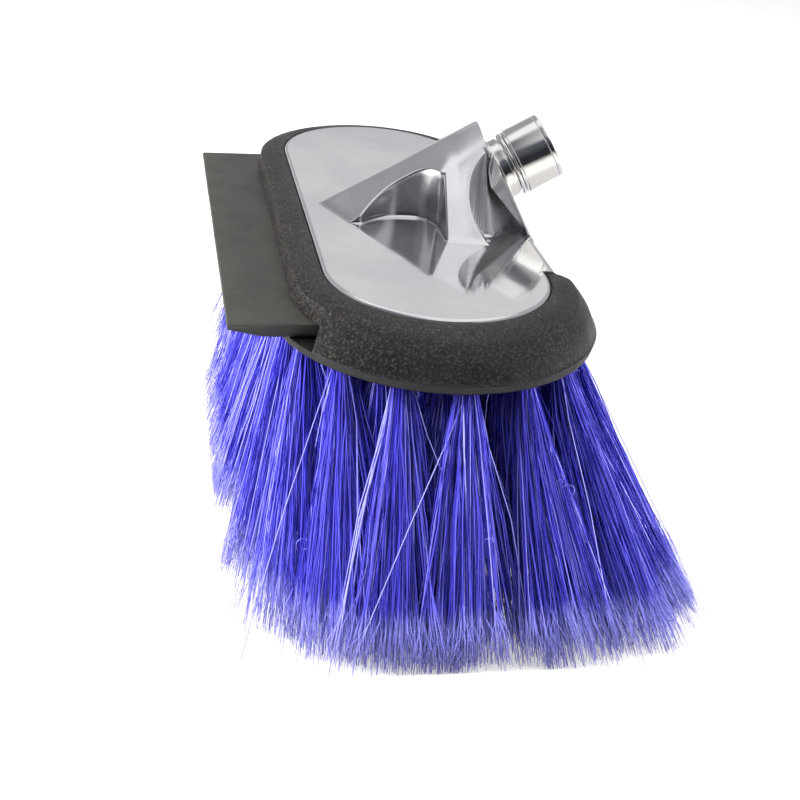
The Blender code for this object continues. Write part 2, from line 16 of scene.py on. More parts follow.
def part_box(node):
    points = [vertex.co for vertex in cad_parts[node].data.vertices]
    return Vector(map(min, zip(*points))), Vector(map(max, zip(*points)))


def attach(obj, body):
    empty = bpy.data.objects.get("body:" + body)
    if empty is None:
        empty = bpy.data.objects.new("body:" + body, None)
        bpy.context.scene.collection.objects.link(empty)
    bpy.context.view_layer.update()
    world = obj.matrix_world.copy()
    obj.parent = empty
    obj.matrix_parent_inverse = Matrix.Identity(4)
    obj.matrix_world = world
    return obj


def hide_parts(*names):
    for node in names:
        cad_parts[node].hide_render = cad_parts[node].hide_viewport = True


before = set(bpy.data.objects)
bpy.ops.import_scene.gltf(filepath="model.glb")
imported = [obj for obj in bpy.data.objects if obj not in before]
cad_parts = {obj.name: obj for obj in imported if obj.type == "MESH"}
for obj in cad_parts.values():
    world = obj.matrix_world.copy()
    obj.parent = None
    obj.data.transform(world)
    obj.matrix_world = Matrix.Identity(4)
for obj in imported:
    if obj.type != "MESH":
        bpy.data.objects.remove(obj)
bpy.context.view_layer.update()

mm = 0.001
rim_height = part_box("bumper")[1].z / mm
tiny = 1e-9
leg_share = 0.45
sharp_edge = 32
bore_edge = 38
soft_edge = 50

# Cast plate and its edges
plate_half = 41.8
spine_half = 66.9
plate_rise = 0.5
plate_edge_round = 1.6
plate_inner = plate_half - plate_edge_round
casting_depth = 8.0
lip_out = 1.2
lip_height = 2.5
chamber_wall = 10.0
chamber_ceiling = -2.9
apron_edge = 47.5
apron_round = 4.0
apron_half_length = 64.5

# Neck boss: a rising ridge, a facet down from it on each side, then steep sides
boss_tip = 34.7
boss_slope = 0.59
near_ridge_round = 2.0
far_ridge_round = 6.5
near_fall = 0.185
near_fall_tip = 0.3
far_fall = 0.6
near_facet_edge = ((-18, 25), (4, 21.5), (20, 21.5), (27.5, 23), (33, 26.5), (38.5, 25.5), (47, 16))
near_outline = ((-18, 26), (2, 37.3), (10, 38.5), (27, 41), (33, 31), (38.5, 28.5), (47, 18.5))
near_side_slope = 1.3
near_fall_from = -32.0
near_fall_run = 24.0
ridge_run = 64.3
least_rise = 0.5
least_spread = 0.1
steep_from = -2.0
steep_run = 8.0
steep_end_run = 5.0
grown_run = 9.0
on_rib_from = 8.0
far_facet_spread = 0.3
boss_base_sweep = 22.1
boss_widest_at = 27.0
boss_foot_half_width = 26.0
boss_foot_x = 46.5
ridge_softness = 1.0
rib_softness = 5.0
foot_softness = 0.7

# Inlet axis and the planes square to it
inlet_lean = math.radians(31.2)
inlet_face = np.array([36.5, 0.0, 16.5])
inlet_axis = np.array([math.cos(inlet_lean), 0.0, math.sin(inlet_lean)])
inlet_across = np.array([math.sin(inlet_lean), 0.0, -math.cos(inlet_lean)])
face_reach = float(inlet_face @ inlet_axis)
face_foot = (apron_edge * inlet_axis[0] - face_reach) / -inlet_axis[2] - plate_rise
near_face_end = 34.0
far_face_end = 27.5
face_end_run = 3.0
end_flange = 0.8
inlet_bores = ((-2.3, 2, 12.6), (-12, 2, 10.6))

# Pockets in each side of the boss
rib_start = 10.0
rear_back = 12.2
rear_back_at = -4.0
rear_open_spread = 10.0
rear_open_run = 18.3
rear_corner_spread = 9.0
rear_corner_run = 12.7
rear_widest = 21.2
rib_crossing = 9.0
front_back = 15.5
scoop_radius = 18.8
scoop_x = 38.3
scoop_z = 15.0
scoop_foot_near = (29.0, 32.4)
scoop_foot_far = (42.4, 20.8)
pocket_reach = 42.0
pocket_foot_round = 1.7
pocket_top_round = 0.9
rib_edge_round = 1.2
crisp_round = 0.5
meet_rounds = 60
scoop_clear = 0.6
flange_clear = 0.4
last_leg = 0.05
path_step = 0.1
core_end = 26
outer_start_y = 12
floor_line_y = 20
core_columns = 30
wall_columns = 9
outer_columns = 42
apron_columns = 14
end_columns = 24
bend_rows = 7

# Corners of the paths across the casting: points on the scoop's arc, steps and rounds
arc_points = 15
outer_steps = (
    [5, 5, 6] + [1] * (arc_points - 1) + [5, 5, 4, 4, 3],
    [80, 7, 24] + [1] * arc_points + [12, 15, 3, 20, 4],
)
outer_rounds = [pocket_foot_round, pocket_top_round, rib_edge_round] + [0.44] * (arc_points - 1)
outer_rounds += [1.5, 1.2, crisp_round, crisp_round, 0.8]

# Bumper, blade and bristle face
crease_out = 10.3
crease_drop = 2.4
seam_out = 18.7
seam_drop = 14.3
lip_drop = 18.2
inlet_side_out = 8.2
gap = 0.3
touch = 0.08
curb_out = 11.2
slot_end_slant = math.tan(math.radians(66))
blade_half_length = 91.75
blade_edge_x = 76.8
blade_root_drop = 9.7
blade_edge_drop = 10.2
blade_root_thickness = 5.2
blade_edge_thickness = 2.0
blade_taper = 12.0
blade_tuck = 2.9
blade_end_round = 0.35
block_bottom_drop = 16.7
face_overhang = 11.7
face_top_drop = 17.0
face_bottom_drop = 19.6

# Bristles
slice_bounds = (-75.0, -25.0, 25.0, 75.0)
root_half_width = 49.3
tip_reach_right = 90.0
tip_end_reach = 38.5
tip_straight_half = 123.0
tip_limit_low = (-76.2, -163.4)
tip_limit_high = (96.2, 163.4)

# Reach of the tips on the blade's side at places along the head
tip_reach_left = (
    (-140, 49), (-127, 55), (-109, 58), (-91, 59.5), (-74, 61.5), (-62, 66), (-50, 69),
    (-28, 68), (0, 66), (30, 62.5), (60, 57.5), (90, 50), (120, 42), (150, 34),
)

# Rows of tufts from the edge inwards: share of the offset, pitch, strands, root radius
tuft_rows = (
    (1.0, 22.5, 260, 3.3),
    (0.84, 22.5, 190, 3.0),
    (0.66, 20.0, 90, 2.8),
    (0.47, 20.0, 60, 2.6),
    (0.28, 20.0, 50, 2.6),
    (0.1, 20.0, 40, 2.6),
)
tuft_fan = 19.0
tuft_hold = 0.4
near_tuft_place = 0.0242
strand_radius = 0.215
flagged_length = 19.0
clump_lean = 2.0
tip_scatter = 2.6
astray_share = 0.035
astray_reach = (14.0, 9.0)
astray_tone = 0.93
most_tone = 0.9
ragged_depth = 3.5
trim_depth = 4.0
bow_scatter = 1.8
bow_outwards = 1.5
wander_size = 0.7
wander_turns = 1.3
flare_power = 1.08
root_sink = 0.4
tip_clear = 0.3
forks = 2
fork_splay = 2.6
fork_shortest = 7.0
fork_crook = 0.8
curl_radius = 0.13

# Studio
floor_glow = 0.48
floor_reach = 6000.0
lamp_target = (0.0, 0.0, 0.06)


def to_world(points):
    """Millimetres about the plate's middle to the frame's metres."""
    return np.asarray(points, float) * mm + np.array([0, 0, rim_height * mm])


def mix(a, b, share):
    """a at share 0 and b at share 1, straight in between."""
    return a + (b - a) * share


def ease(t):
    """0 below 0, 1 above 1, and 3t2 - 2t3 in between."""
    t = np.clip(t, 0, 1)
    return t * t * (3 - 2 * t)


def look_up(table, x):
    """Straight-line reading of a table of (place, value) pairs."""
    return np.interp(x, *np.array(table, float).T)


def soft_min(a, b, softness):
    """The lesser of two surfaces, with their crease rounded: a hyperbola under both."""
    return (a + b - np.sqrt((a - b) ** 2 + softness**2)) / 2


def soft_max(a, b, softness):
    """The greater of two surfaces, with their crease rounded."""
    return -soft_min(-a, -b, softness)


def curve(a, b, c, t):
    """(1-t)2 a + 2t(1-t) b + t2 c, which leaves a towards b and ends at c."""
    return (1 - t) ** 2 * a + 2 * t * (1 - t) * b + t * t * c


def rounded_path(corners, rounds, corner_steps, leg_steps):
    """Rows of points along a path through corners, whose corners are rounded.

    Each corner gives way to a curve that starts and ends a rounding from it, at most
    leg_share of a leg away. Legs are straight. Corners may carry further axes, so one
    call makes a whole family of paths. Also returns the row at which each corner starts.
    """
    corners = [np.asarray(c, float) for c in corners]
    rows, marks, end = [corners[0]], [], corners[0]
    for k in range(1, len(corners) - 1):
        sides = []
        for other in (corners[k - 1], corners[k + 1]):
            leg = other - corners[k]
            length = np.linalg.norm(leg, axis=-1, keepdims=True) + tiny
            sides.append(corners[k] + leg / length * np.minimum(rounds[k - 1], leg_share * length))
        legs, steps = leg_steps[k - 1], corner_steps[k - 1]
        rows += [mix(end, sides[0], i / legs) for i in range(1, legs + 1)]
        marks.append(len(rows) - 1)
        rows += [curve(sides[0], corners[k], sides[1], i / steps) for i in range(1, steps + 1)]
        end = sides[1]
    legs = leg_steps[-1]
    rows += [mix(end, corners[-1], i / legs) for i in range(1, legs + 1)]
    return np.array(rows), marks


def rounded_outline(corners, rounds, corner_steps=4, leg_steps=1):
    """A closed outline through (x, z) corners with rounded corners, starting mid-leg."""
    corners = [np.asarray(c, float) for c in corners]
    start = (corners[-1] + corners[0]) / 2
    path = [start] + corners + [start]
    count = len(corners)
    rows, _ = rounded_path(path, rounds, [corner_steps] * count, [leg_steps] * (count + 1))
    return rows[:-1]


def grid_faces(rows, columns, wrap_rows, wrap_columns):
    """Quads between neighbours of a grid whose points are numbered row by row."""
    index = np.arange(rows * columns).reshape(rows, columns)
    if wrap_rows:
        index = np.vstack([index, index[:1]])
    if wrap_columns:
        index = np.hstack([index, index[:, :1]])
    quads = [index[:-1, :-1], index[1:, :-1], index[1:, 1:], index[:-1, 1:]]
    return np.stack(quads, -1).reshape(-1, 4)


def grid_mesh(points, wrap_rows=False, wrap_columns=False, caps=False, sharp=sharp_edge):
    """A mesh of a (rows, columns, 3) grid of millimetre points, its doubles merged.

    With caps, the first and last rows are filled with flat faces.
    """
    rows, columns = points.shape[:2]
    faces = grid_faces(rows, columns, wrap_rows, wrap_columns).tolist()
    if caps:
        faces.append(list(range(columns)))
        faces.append(list(range((rows - 1) * columns, rows * columns)))
    mesh = bpy.data.meshes.new("surface")
    mesh.from_pydata(to_world(points).reshape(-1, 3), [], faces)
    work = bmesh.new()
    work.from_mesh(mesh)
    bmesh.ops.remove_doubles(work, verts=work.verts, dist=1e-6)
    bmesh.ops.dissolve_degenerate(work, edges=work.edges, dist=1e-6)
    bmesh.ops.recalc_face_normals(work, faces=work.faces)
    work.to_mesh(mesh)
    work.free()
    shade(mesh, sharp)
    return mesh


def shade(mesh, sharp):
    """Smooth shading, with edges sharper than the given degrees left crisp."""
    mesh.shade_smooth()
    mesh.set_sharp_from_angle(angle=math.radians(sharp))


def put(name, data):
    """A new object in the scene, from its mesh, lamp or camera data."""
    item = bpy.data.objects.new(name, data)
    bpy.context.scene.collection.objects.link(item)
    return item


def add_piece(name, mesh, body, slot, material, *nodes):
    """A shown piece that rides on a body and stands for the given CAD nodes."""
    piece = put(name, mesh)
    mesh.materials.clear()
    mesh.materials.append(material)
    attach(piece, body)
    if nodes:
        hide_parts(*nodes)


def cut(mesh, cutters, sharp=sharp_edge):
    """The mesh after an exact boolean with each cutter mesh in turn."""
    target = put("target", mesh)
    tools = [put("tool", cutter) for cutter in cutters]
    for tool in tools:
        modifier = target.modifiers.new("cut", "BOOLEAN")
        modifier.operation, modifier.solver = "DIFFERENCE", "EXACT"
        modifier.object = tool
    bpy.context.view_layer.update()
    evaluated = target.evaluated_get(bpy.context.evaluated_depsgraph_get())
    result = bpy.data.meshes.new_from_object(evaluated)
    for item in [target] + tools:
        bpy.data.objects.remove(item)
    shade(result, sharp)
    return result


def boss_height(x, y, side):
    """Height of the boss over the plate, before its pockets and its inlet face.

    A rounded ridge rises from the tip along the middle. A facet falls from it on each
    side, wide on the near side (-1) and steeper on the far side (1), and the sides fall
    from the facets' edges to the outline on the plate. Creases are soft, most on the rib.
    """
    run = x + boss_tip
    swept = np.clip(run, tiny, boss_widest_at + boss_tip)
    half_base = np.sqrt(boss_base_sweep * swept)
    half_top = far_facet_spread * swept
    fall, ridge_round = far_fall, far_ridge_round
    if side < 0:
        ridge_round = near_ridge_round
        fall = mix(near_fall_tip, near_fall, ease((x - near_fall_from) / near_fall_run))
        half_base = look_up(near_outline, x)
        half_top = look_up(near_facet_edge, x)
    else:
        half_base = np.minimum(half_base, swept)
        past = np.clip((x - boss_widest_at) / (boss_foot_x - boss_widest_at), 0, 1)
        half_base = mix(half_base, boss_foot_half_width, past)
    ridge = boss_slope * np.minimum(run, ridge_run)
    top = ridge - fall * (np.hypot(y, ridge_round) - ridge_round)
    steep = np.maximum(ridge - fall * half_top, least_rise) / np.maximum(half_base - half_top, least_spread)
    if side < 0:
        even = ease((x - steep_from) / steep_run) * (1 - ease((x - boss_widest_at) / steep_end_run))
        steep = mix(steep, near_side_slope, even)
    slope_side = steep * (half_base - np.abs(y))
    grown = ease(run / grown_run)
    on_rib = ease((x - on_rib_from) / steep_run) * (side < 0)
    height = soft_min(top, slope_side, mix(ridge_softness, rib_softness, on_rib) * grown)
    return soft_max(height, 0, foot_softness * grown)


def on_plane(reach, height):
    """x of a plane square to the inlet axis, at a height over the plate."""
    return (reach - inlet_axis[2] * (plate_rise + height)) / inlet_axis[0]


def meet_plane(y, reach, side):
    """x at which the boss's surface meets such a plane."""
    x = np.full_like(y, boss_widest_at)
    for _ in range(meet_rounds):
        x = mix(x, on_plane(reach, boss_height(x, y, side)), 0.7)
    return x


def meet_scoop(y, side):
    """x at which the boss's surface meets the front scoop's cylinder."""
    x = np.full_like(y, boss_widest_at)
    for _ in range(meet_rounds):
        up = plate_rise + boss_height(x, y, side) - scoop_z
        x = mix(x, scoop_x - np.sqrt(np.maximum(scoop_radius**2 - up * up, 1)), 0.5)
    return x


def rear_wall(x):
    """Distance from the middle to the back wall of the rear pocket.

    A parabola opens it towards the tip and a fourth-power curve turns it towards the
    rib. Over the rib it eases to the back of the front pocket.
    """
    behind = rear_open_spread * (np.maximum(rear_back_at - x, 0) / rear_open_run) ** 2
    ahead = rear_corner_spread * (np.clip(x - rear_back_at, 0, rear_corner_run) / rear_corner_run) ** 4
    wall = np.minimum(rear_back + behind + ahead, rear_widest)
    return mix(wall, front_back, ease((x - rib_start - 1) / rib_crossing))


def face_present(y, side):
    """1 where the inlet face runs down to the casting's edge, and 0 beyond the boss."""
    return ease(((far_face_end if side > 0 else near_face_end) - y) / face_end_run)


def spread_out(corners, like):
    """(x, height) corners as arrays with one pair for each place of another array."""
    return [np.stack(np.broadcast_arrays(x, height, like)[:2], -1) for x, height in corners]


def outer_paths(y, side):
    """Paths across the plate outside the boss's core, one for each y, as (x, height).

    Each runs over the plate, up the rib, along it, down the round scoop, up the back of
    the end flange, over its edge and down the inlet face to the apron.
    """
    present = face_present(y, side)
    back_reach = face_reach - end_flange
    back_top, face_top = meet_plane(y, back_reach, side), meet_plane(y, face_reach, side)
    scoop_edge = np.minimum(meet_scoop(y, side), back_top - scoop_clear)
    floor_angle = math.atan2(plate_rise - scoop_z, -math.sqrt(scoop_radius**2 - (scoop_z - plate_rise) ** 2))
    edge_up = plate_rise + boss_height(scoop_edge, y, side) - scoop_z
    edge_angle = np.arctan2(edge_up, scoop_edge - scoop_x) % math.tau
    plain_x = [apron_edge - apron_round - path_step * k for k in (4, 3, 2, 0)]
    corners = [(-plate_inner, 0), (rib_start, 0)]
    corners += [(x, boss_height(x, y, side)) for x in (rib_start, scoop_edge)]
    for i in range(1, arc_points + 1):
        angle = mix(edge_angle, floor_angle % math.tau, i / arc_points)
        up = np.maximum(scoop_z + scoop_radius * np.sin(angle) - plate_rise, 0)
        flange = on_plane(back_reach, up) - flange_clear
        corners.append((np.minimum(scoop_x + scoop_radius * np.cos(angle), flange), up))
    corners += [
        (mix(plain_x[0], on_plane(back_reach, 0), present), 0),
        (mix(plain_x[1], back_top, present), boss_height(back_top, y, side)),
        (mix(plain_x[2], face_top, present), boss_height(face_top, y, side)),
        (mix(plain_x[3], apron_edge, present), face_foot * present),
        (mix(plain_x[3] + last_leg, apron_edge, present), (face_foot - last_leg) * present),
    ]
    rows, marks = rounded_path(spread_out(corners, y), outer_rounds, *outer_steps)
    rib = slice(marks[1] + outer_steps[0][1], marks[2])
    rows[rib, ..., 1] = boss_height(rows[rib, ..., 0], y, side)
    return rows, marks


def core_paths(y, side):
    """Paths over the boss's core, row for row beside the outer ones.

    They follow the boss's own surface to the top edge of the inlet face and down it.
    """
    face_top = meet_plane(y, face_reach, side)
    pinch = meet_plane(np.array([front_back]), face_reach - end_flange, -1)
    xs = [-plate_inner, rib_start - 1, rib_start + 1]
    xs += [pinch - 0.8 + 0.6 * i / arc_points for i in range(arc_points + 1)]
    xs += [pinch - path_step, pinch, face_top]
    corners = [(x, boss_height(x, y, side)) for x in xs]
    corners += [(apron_edge, face_foot), (apron_edge, face_foot - last_leg)]
    rows, marks = rounded_path(spread_out(corners, y), outer_rounds, *outer_steps)
    rows[:marks[-2], ..., 1] = boss_height(rows[:marks[-2], ..., 0], y, side)
    return rows


def reader(table, low):
    """A function that reads off a table of (x, height) rows over evenly spaced y.

    It gives (x, height, y) in each row at the wanted places, straight in between.
    """
    row = np.arange(len(table))[:, None]

    def read(y):
        place = np.clip((y - low) / path_step, 0, table.shape[1] - 1.001)
        first = place.astype(int)
        found = mix(table[row, first], table[row, first + 1], (place - first)[..., None])
        return np.concatenate([found, y[..., None]], -1)

    return read


def cast_top(side):
    """Top of one side of the casting from the middle outwards, as arrays x, y and height.

    Columns run from the middle over the core, down the pocket walls and out over the
    pockets' floors, the rib and the flange to the plate beyond the boss.
    """
    outer, marks = outer_paths(np.arange(outer_start_y, pocket_reach + 1, path_step), side)
    over_outer = reader(outer, outer_start_y)
    over_core = reader(core_paths(np.arange(0, core_end, path_step), side), 0)
    wall = rear_wall(over_core(np.zeros((len(outer), 1)))[:, 0, 0])[:, None]
    edge = marks[2]
    arc_end, floor_end, back_end = marks[2 + arc_points:5 + arc_points]
    near_x, near_y = scoop_foot_near
    far_x, far_y = scoop_foot_far
    scoop_floor = over_outer(np.full((len(outer), 1), floor_line_y))[:, 0, 0]
    along_floor = np.clip((scoop_floor - near_x) / (far_x - near_x), 0, 1)
    middle = outer[:, round((floor_line_y - outer_start_y) / path_step)]
    travel = np.linalg.norm(np.diff(middle, axis=0, prepend=middle[:1]), axis=-1).cumsum()
    rise = ease((travel - travel[edge]) / (travel[arc_end + 4] - travel[edge]))
    fall = 1 - np.clip((travel - travel[floor_end]) / (travel[back_end] - travel[floor_end]), 0, 1)
    foot_y = wall + ((mix(near_y, far_y, along_floor) - front_back) * rise * fall)[:, None]

    start, foot = over_core(wall), over_outer(foot_y)
    length = np.linalg.norm(foot - start, axis=-1, keepdims=True) + tiny
    round_top = np.minimum(pocket_top_round, leg_share * length)
    round_foot = np.minimum(pocket_foot_round, leg_share * length)
    toward = (foot - start) / length
    inner_y = wall - round_top[..., 0]
    outer_y = foot_y + round_foot[..., 0]
    wall_top, wall_foot = start + toward * round_top, foot - toward * round_foot
    columns = [over_core(inner_y * np.linspace(0, 1, core_columns))]
    columns += [curve(over_core(inner_y), start, wall_top, t) for t in (0.25, 0.5, 0.75, 1)]
    columns += [mix(wall_top, wall_foot, t) for t in np.linspace(0, 1, wall_columns)[1:]]
    columns += [curve(wall_foot, foot, over_outer(outer_y), t) for t in (0.2, 0.4, 0.6, 0.8, 1)]
    columns.append(over_outer(mix(outer_y, pocket_reach, np.linspace(0, 1, outer_columns)[1:])))
    top = np.concatenate(columns, 1)
    return top[..., 0], top[..., 2], top[..., 1]


def cast_half(side):
    """Sections of one side of the casting, from the middle outwards.

    Each section runs from the water chamber's wall up the left side, over the top and
    down the right side. Round ends turn the sections' edges about the spine's ends.
    """
    x, y, height = cast_top(side)
    plain_x = x[:, -1]
    flat_x = np.where(plain_x > 0, plain_x * plate_inner / plain_x[-1], plain_x)
    apron_y = np.linspace(pocket_reach, apron_half_length, apron_columns + 1)[1:]
    plain_y = np.concatenate([apron_y, [apron_half_length + 0.01, spine_half]])
    covered = x.shape[1] + apron_columns
    straight = covered + 2
    turn = np.linspace(0, math.pi / 2, end_columns + 1)[1:]
    end_turn = np.concatenate([np.zeros(straight), turn])
    flat = [plain_x] * apron_columns + [flat_x] * 2
    x = np.column_stack([x] + flat + [flat_x[:, None] * np.cos(turn)])
    end_y = spine_half + plate_inner * np.sin(turn)
    y = np.column_stack([y, np.tile(np.concatenate([plain_y, end_y]), (len(y), 1))])
    height = np.pad(height, ((0, 0), (0, x.shape[1] - height.shape[1])))
    inner = np.stack([x, y, height + plate_rise], -1)

    bend = np.linspace(0, math.pi / 2, bend_rows + 1)[1:]
    lip_x, lip_z = plate_half + lip_out, lip_height - casting_depth
    chamber_x = plate_half - chamber_wall
    below_x = [plate_half, lip_x, lip_x, chamber_x, chamber_x]
    below_z = [lip_z, lip_z, -casting_depth, -casting_depth, chamber_ceiling]
    out = np.concatenate([plate_inner + plate_edge_round * np.sin(bend), below_x])
    down = np.concatenate([plate_rise - plate_edge_round * (1 - np.cos(bend)), below_z])
    left = edge_rows(-out, down, end_turn, inner[0, :, 1])
    right = edge_rows(out, down, end_turn, inner[-1, :, 1])

    present = face_present(inner[-1, :covered, 1], side)
    share = np.arange(1, bend_rows + 1)[:, None] / bend_rows
    bend = bend[:, None]
    arc_x = apron_edge - apron_round * (1 - np.sin(bend))
    arc_z = plate_rise - apron_round * (1 - np.cos(bend))
    foot_z = mix(face_foot + plate_rise, plate_rise - apron_round, share)
    right[:bend_rows, :covered, 0] = mix(arc_x, apron_edge, present)
    right[:bend_rows, :covered, 2] = mix(arc_z, foot_z, present)
    right[bend_rows:bend_rows + 3, :covered, 0] = apron_edge
    return np.concatenate([left[::-1], inner, right])


def edge_rows(out, down, end_turn, straight_y):
    """Rows at distances out from the spine, turned about its end in the round end."""
    out, down = out[:, None], down[:, None]
    across = out * np.cos(end_turn)
    turned = spine_half + np.abs(out) * np.sin(end_turn)
    along = np.where(end_turn > 0, turned, straight_y)
    return np.stack([across, along, down + np.zeros_like(across)], -1)


def round_bar(start, end, radius, steps=64):
    """A closed cylinder between two heights along the inlet axis."""
    profile = np.array([(0, start), (radius, start), (radius, end), (0, end)], float)
    return grid_mesh(turned_points(profile, steps), wrap_columns=True)


def turned_points(profile, steps):
    """A (radius, height) profile turned about the inlet axis from the inlet face."""
    angle = np.linspace(0, math.tau, steps, endpoint=False)[:, None]
    around = np.cos(angle) * inlet_across + np.sin(angle) * np.array([0, 1, 0])
    radius, height = profile.T[..., None, None]
    return inlet_face + radius * around + height * inlet_axis


def stadium_points(profile, arc_steps=48, straight_steps=26):
    """An (offset, z) profile carried round the plate's outline.

    The point at offset o stands half the plate's width plus o from the spine, which is
    a straight line with a half turn at each end.
    """
    turn = np.linspace(-math.pi / 2, math.pi / 2, arc_steps + 1)
    far_y = np.full(arc_steps + 1, spine_half)
    run = np.linspace(spine_half, -spine_half, straight_steps + 1)[1:-1]
    side = np.full(len(run), math.pi / 2)
    heading = np.concatenate([turn, side, turn + math.pi, side + math.pi])
    spine = np.concatenate([far_y, run, -far_y, -run])
    radius = plate_half + profile[:, 0][:, None]
    x = radius * np.sin(heading)
    y = spine + radius * np.cos(heading)
    return np.stack([x, y, profile[:, 1][:, None] + np.zeros_like(x)], -1)


def prism_mesh(outline, low, high):
    """A flat outline of (x, y) points carried straight up."""
    ring = np.array(outline, float)
    levels = [np.column_stack([ring, np.full(len(ring), z)]) for z in (low, high)]
    return grid_mesh(np.array(levels), wrap_columns=True, caps=True)


def box_mesh(low, high):
    """A box between two corners."""
    outline = [(low[0], low[1]), (high[0], low[1]), (high[0], high[1]), (low[0], high[1])]
    return prism_mesh(outline, low[2], high[2])


def make_casting():
    """Casting, as closed sections across X set along Y, with its inlet bores."""
    far = cast_half(1)
    near = cast_half(-1)[:, ::-1] * np.array([1, -1, 1])
    mesh = grid_mesh(np.concatenate([near, far[:, 1:]], 1), wrap_rows=True)
    cutters = [round_bar(*bore) for bore in inlet_bores]
    mesh = cut(mesh, cutters, bore_edge)
    add_piece("cast_head", mesh, "head", "polished_aluminium", cast_aluminium(), "body_casting")


def make_bumper():
    """Rubber surround: a rounded section round the plate, with a moulding flash line."""
    lip_top = lip_height - casting_depth + gap
    corners = [
        (face_overhang + gap, -lip_drop), (seam_out - 0.5, -lip_drop), (seam_out - 0.1, -seam_drop - 0.75),
        (seam_out + 0.25, -seam_drop - 0.15), (seam_out - 0.3, -seam_drop + 0.5), (15.3, -7.9),
        (crease_out, -crease_drop), (5, -0.35), (touch, 0), (touch, lip_top), (lip_out + gap, lip_top),
        (lip_out + gap, -casting_depth - gap), (gap, -casting_depth - gap), (gap, -block_bottom_drop),
        (face_overhang + gap, -block_bottom_drop),
    ]
    rounds = [0.3, 0.9, 0.3, 0.16, 0.3, 3, 1.3, 2, 1.1] + [0.1] * 6
    section = rounded_outline(corners, rounds, 5, 2)
    mesh = grid_mesh(stadium_points(section), wrap_rows=True, wrap_columns=True)

    half = blade_half_length + gap
    curb_x = plate_half + curb_out
    run = blade_edge_x + 3 - curb_x
    low = -(blade_root_drop + blade_root_thickness) - gap
    outline = [(0, -half), (-plate_half, -half), (-curb_x - run, -half - run * slot_end_slant)]
    outline += [(-curb_x - run, half + run * slot_end_slant), (-plate_half, half), (0, half)]
    space = prism_mesh(outline[::-1], low, 3)
    root = curb_out - blade_tuck - gap
    ledge = gap - blade_root_drop
    core = [(root, low - 3), (root, ledge), (curb_out, ledge), (crease_out, -crease_drop), (crease_out, 6)]
    core = grid_mesh(stadium_points(np.array(core)), wrap_columns=True, caps=True)
    space = cut(space, [core])
    clear = apron_half_length + gap
    over = box_mesh((0, -clear, -casting_depth - gap), (90, clear, 5))
    beside = box_mesh((plate_half + inlet_side_out, -clear, -40), (90, clear, 5))
    mesh = cut(mesh, [space, over, beside])
    add_piece("rubber_bumper", mesh, "head", "bumper_rubber", moulded_rubber(), "bumper")


def make_blade():
    """Wedge of rubber whose root follows the curb, with softened edges and ends."""
    y = np.linspace(-blade_half_length, blade_half_length, 61)
    past = np.maximum(np.abs(y) - spine_half, 0)
    root_x = -np.sqrt((plate_half + curb_out - blade_tuck) ** 2 - past**2)
    top, low = -blade_root_drop, -blade_root_drop - blade_root_thickness
    wave = 0.12 * np.sin(y / 11.0) + 0.08 * np.sin(y / 4.3 + 1)
    edge_x = -blade_edge_x + 0.15 + 0.1 * wave
    edge_z = wave - blade_edge_drop
    corners = [(root_x, top), (root_x - blade_tuck, top), (edge_x, edge_z)]
    corners += [(edge_x, edge_z - blade_edge_thickness), (edge_x + blade_taper, low), (root_x, low)]
    section = rounded_outline(spread_out(corners, y), [0.3, 2, 0.7, 0.5, 2, 0.3], 4, 3)
    points = np.insert(section, 1, y, axis=-1).transpose(1, 0, 2)
    ends = points[[0, -1]]
    ring = ends - ends.mean(axis=1, keepdims=True)
    ring[..., 1] = 0
    ends -= ring * blade_end_round / (np.abs(ring).max(axis=1, keepdims=True) + tiny)
    points[0, :, 1] += blade_end_round
    points[-1, :, 1] -= blade_end_round
    points = np.concatenate([ends[:1], points, ends[1:]])
    mesh = grid_mesh(points, wrap_columns=True, caps=True, sharp=soft_edge)
    add_piece("blade", mesh, "head", "blade_rubber", blade_rubber(), "squeegee_blade")


def make_inlet():
    """Turned nipple, ring, nut and washer, each a rounded profile about the inlet axis."""
    bright = turned_metal()
    nipple = [
        (5.5, 12.7), (9.8, 12.7), (9.8, 10.7), (8.0, 10.7), (8.0, 6.2), (11.6, 6.2), (11.6, 5.4),
        (12.4, 5.4), (12.4, 1.8), (13.2, 1.8), (13.2, 0.3), (10.3, 0.3), (10.3, -11.7), (5.5, -11.7),
    ]
    rounds = [0.3, 0.4, 0.2, 0.2, 0.1, 0.1, 0.1, 0.35, 0.2, 0.45, 0.4, 0.1, 0.5, 0.3]
    add_turned("nipple", nipple, rounds, "head", "inlet_nipple", bright)
    ring = [(8.3, 7.8), (13.3, 7.8), (13.3, 6.5), (8.3, 6.5)]
    add_turned("bearing_ring", ring, [0.2, 0.5, 0.5, 0.2], "head", "thrust_ring", bright)
    nut = [
        (10.9, 24.1), (13.4, 24.1), (13.4, 22.4), (13.2, 22.2), (13.4, 22.0), (13.5, 9.4), (13.1, 9.2),
        (13.1, 8.1), (8.3, 8.1), (8.3, 10.4), (10.4, 10.4), (10.4, 23.6),
    ]
    rounds = [0.2, 0.5, 0.1, 0.1, 0.1, 0.15, 0.1, 0.4, 0.2, 0.2, 0.2, 0.2]
    add_turned("nut", nut, rounds, "swivel", "swivel_nut", bright)
    profile = rounded_outline([(5.8, 15.0), (10.1, 15.0), (10.1, 13.0), (5.8, 13.0)], [0.25] * 4)
    mesh = grid_mesh(turned_points(profile, 96), wrap_rows=True, wrap_columns=True)
    add_piece("washer", mesh, "swivel", "seal_rubber", soft_seal(), "hose_washer")


def add_turned(name, corners, rounds, body, node, look):
    """A bright turned piece from its outline of (radius, height) corners."""
    profile = rounded_outline(corners, rounds, 5, 2)
    mesh = grid_mesh(turned_points(profile, 144), wrap_rows=True, wrap_columns=True, sharp=soft_edge)
    add_piece(name, mesh, body, "bright_metal", look, node)


